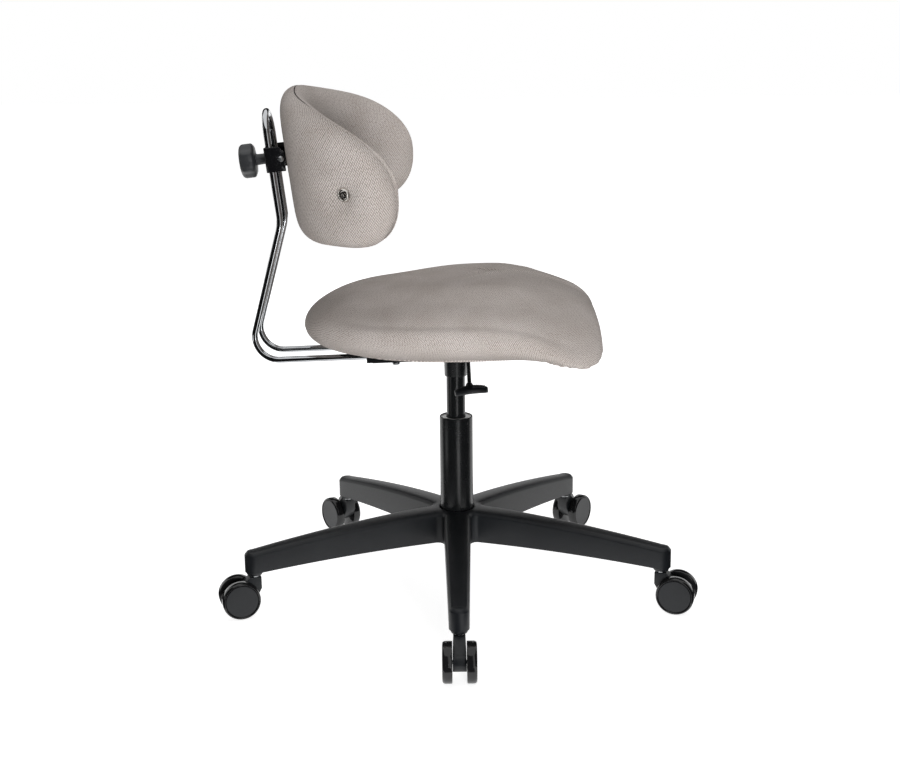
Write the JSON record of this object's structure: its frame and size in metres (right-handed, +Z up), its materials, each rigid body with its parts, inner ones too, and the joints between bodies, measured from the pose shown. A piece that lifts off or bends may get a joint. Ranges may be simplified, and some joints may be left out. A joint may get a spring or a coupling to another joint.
{
  "type": "swivel task chair",
  "caption": "Swivel task chair with a saddle-shaped fabric seat on a gas lift, a star base on casters and a small wrap-round backrest that slides on a bent chrome bar.",
  "frame": {"origin": "middle of the footprint, on the floor", "axes": "+X is the way the sitter faces, +Y is the sitter's left, +Z is up"},
  "size_m": [0.7126, 0.6779, 0.7644],
  "materials": {
    "grey_fabric": "woven spacer knit, warm grey",
    "black_nylon": "satin black moulding",
    "gloss_black_plastic": "glossy black moulding",
    "black_painted_steel": "black powder coat",
    "chrome": "polished chrome plate",
    "zinc_steel": "zinc plated",
    "pale_bush_plastic": "pale grey bearing plastic",
    "plywood": "bent beech plywood"
  },
  "bodies": {
    "base": {"five_star_base": "black_nylon", "column_tube": "black_painted_steel", "guide_bush": "pale_bush_plastic", "thrust_bearing": "zinc_steel"},
    "spindle": {"piston_rod": "zinc_steel", "rod_clip": "zinc_steel"},
    "seat": {"gas_piston": "black_painted_steel", "seat_plate": "black_painted_steel", "seat_pan": "plywood", "seat_cushion": "grey_fabric", "seat_screw_1": "zinc_steel", "seat_screw_2": "zinc_steel", "seat_screw_3": "zinc_steel", "seat_screw_4": "zinc_steel", "back_bar": "chrome", "bar_clamp": "black_nylon", "clamp_screw_1": "zinc_steel", "clamp_screw_2": "zinc_steel", "lever_pin": "zinc_steel"},
    "lever": {"lever_arm": "black_painted_steel", "lever_paddle": "black_nylon"},
    "release_pin": {"release_pin": "zinc_steel"},
    "back_slider": {"clamp_channel": "black_painted_steel", "clamp_jaw": "black_painted_steel", "pivot_shaft": "zinc_steel"},
    "knob": {"hand_knob": "black_nylon", "knob_stud": "zinc_steel"},
    "tilt": {"tilt_bracket": "black_painted_steel"},
    "backrest": {"backrest_shell": "plywood", "backrest_outer_pad": "grey_fabric", "backrest_inner_pad": "grey_fabric", "pad_button_left": "zinc_steel", "pad_button_right": "zinc_steel", "turn_bolt": "zinc_steel"},
    "caster_1": {"caster_1_stem": "zinc_steel", "caster_1_fork": "black_nylon", "caster_1_axle": "zinc_steel"},
    "wheel_1_left": {"caster_1_wheel_left": "gloss_black_plastic"},
    "wheel_1_right": {"caster_1_wheel_right": "gloss_black_plastic"},
    "caster_2": {"caster_2_stem": "zinc_steel", "caster_2_fork": "black_nylon", "caster_2_axle": "zinc_steel"},
    "wheel_2_left": {"caster_2_wheel_left": "gloss_black_plastic"},
    "wheel_2_right": {"caster_2_wheel_right": "gloss_black_plastic"},
    "caster_3": {"caster_3_stem": "zinc_steel", "caster_3_fork": "black_nylon", "caster_3_axle": "zinc_steel"},
    "wheel_3_left": {"caster_3_wheel_left": "gloss_black_plastic"},
    "wheel_3_right": {"caster_3_wheel_right": "gloss_black_plastic"},
    "caster_4": {"caster_4_stem": "zinc_steel", "caster_4_fork": "black_nylon", "caster_4_axle": "zinc_steel"},
    "wheel_4_left": {"caster_4_wheel_left": "gloss_black_plastic"},
    "wheel_4_right": {"caster_4_wheel_right": "gloss_black_plastic"},
    "caster_5": {"caster_5_stem": "zinc_steel", "caster_5_fork": "black_nylon", "caster_5_axle": "zinc_steel"},
    "wheel_5_left": {"caster_5_wheel_left": "gloss_black_plastic"},
    "wheel_5_right": {"caster_5_wheel_right": "gloss_black_plastic"}
  },
  "joints": [
    {"name": "seat_swivel", "type": "hinge", "parent": "base", "child": "spindle", "pos_m": [0, 0.02837, 0.2], "axis": [0, 0, 1], "continuous": true},
    {"name": "seat_height", "type": "slide", "parent": "spindle", "child": "seat", "axis": [0, 0, 1], "range_m": [-0.06, 0.065]},
    {"name": "lever_turn", "type": "hinge", "parent": "seat", "child": "lever", "pos_m": [0.018, -0.00163, 0.3791], "axis": [-1, 0, 0], "range_deg": [0, 8], "stiffness_Nm_per_rad": 1, "springref_deg": -2.86},
    {"name": "release_slide", "type": "slide", "parent": "seat", "child": "release_pin", "axis": [0, 0, -1], "range_m": [0, 0.0046]},
    {"name": "back_height", "type": "slide", "parent": "seat", "child": "back_slider", "axis": [-0.1144, 0, 0.9934], "range_m": [-0.035, 0.018]},
    {"name": "knob_turn", "type": "hinge", "parent": "back_slider", "child": "knob", "pos_m": [-0.25996, 0.02837, 0.66277], "axis": [0.9934, 0, 0.1144], "continuous": true},
    {"name": "back_tilt", "type": "hinge", "parent": "back_slider", "child": "tilt", "pos_m": [-0.24426, 0.02837, 0.66458], "axis": [0, 1, 0], "range_deg": [-5, 5]},
    {"name": "back_turn", "type": "hinge", "parent": "tilt", "child": "backrest", "pos_m": [-0.24426, 0.02837, 0.66458], "axis": [0.9896, -0.061, 0.1303], "range_deg": [-17, 3]},
    {"name": "caster_1_swivel", "type": "hinge", "parent": "base", "child": "caster_1", "pos_m": [0, -0.28763, 0.07], "axis": [0, 0, 1], "continuous": true},
    {"name": "wheel_1_left_spin", "type": "hinge", "parent": "caster_1", "child": "wheel_1_left", "pos_m": [0, -0.31163, 0.0283], "axis": [1, 0, 0], "continuous": true},
    {"name": "wheel_1_right_spin", "type": "hinge", "parent": "caster_1", "child": "wheel_1_right", "pos_m": [0, -0.31163, 0.0283], "axis": [1, 0, 0], "continuous": true},
    {"name": "caster_2_swivel", "type": "hinge", "parent": "base", "child": "caster_2", "pos_m": [0.30053, -0.06928, 0.07], "axis": [0, 0, 1], "continuous": true},
    {"name": "wheel_2_left_spin", "type": "hinge", "parent": "caster_2", "child": "wheel_2_left", "pos_m": [0.32336, -0.0767, 0.0283], "axis": [0.309, 0.9511, 0], "continuous": true},
    {"name": "wheel_2_right_spin", "type": "hinge", "parent": "caster_2", "child": "wheel_2_right", "pos_m": [0.32336, -0.0767, 0.0283], "axis": [0.309, 0.9511, 0], "continuous": true},
    {"name": "caster_3_swivel", "type": "hinge", "parent": "base", "child": "caster_3", "pos_m": [0.18574, 0.28402, 0.07], "axis": [0, 0, 1], "continuous": true},
    {"name": "wheel_3_left_spin", "type": "hinge", "parent": "caster_3", "child": "wheel_3_left", "pos_m": [0.19985, 0.30343, 0.0283], "axis": [-0.809, 0.5878, 0], "continuous": true},
    {"name": "wheel_3_right_spin", "type": "hinge", "parent": "caster_3", "child": "wheel_3_right", "pos_m": [0.19985, 0.30343, 0.0283], "axis": [-0.809, 0.5878, 0], "continuous": true},
    {"name": "caster_4_swivel", "type": "hinge", "parent": "base", "child": "caster_4", "pos_m": [-0.18574, 0.28402, 0.07], "axis": [0, 0, 1], "continuous": true},
    {"name": "wheel_4_left_spin", "type": "hinge", "parent": "caster_4", "child": "wheel_4_left", "pos_m": [-0.19985, 0.30343, 0.0283], "axis": [-0.809, -0.5878, 0], "continuous": true},
    {"name": "wheel_4_right_spin", "type": "hinge", "parent": "caster_4", "child": "wheel_4_right", "pos_m": [-0.19985, 0.30343, 0.0283], "axis": [-0.809, -0.5878, 0], "continuous": true},
    {"name": "caster_5_swivel", "type": "hinge", "parent": "base", "child": "caster_5", "pos_m": [-0.30053, -0.06928, 0.07], "axis": [0, 0, 1], "continuous": true},
    {"name": "wheel_5_left_spin", "type": "hinge", "parent": "caster_5", "child": "wheel_5_left", "pos_m": [-0.32336, -0.0767, 0.0283], "axis": [0.309, -0.9511, 0], "continuous": true},
    {"name": "wheel_5_right_spin", "type": "hinge", "parent": "caster_5", "child": "wheel_5_right", "pos_m": [-0.32336, -0.0767, 0.0283], "axis": [0.309, -0.9511, 0], "continuous": true}
  ],
  "couplings": [
    {"joint": "release_slide", "follows": "lever_turn", "m_per_rad": 0.03}
  ]
}
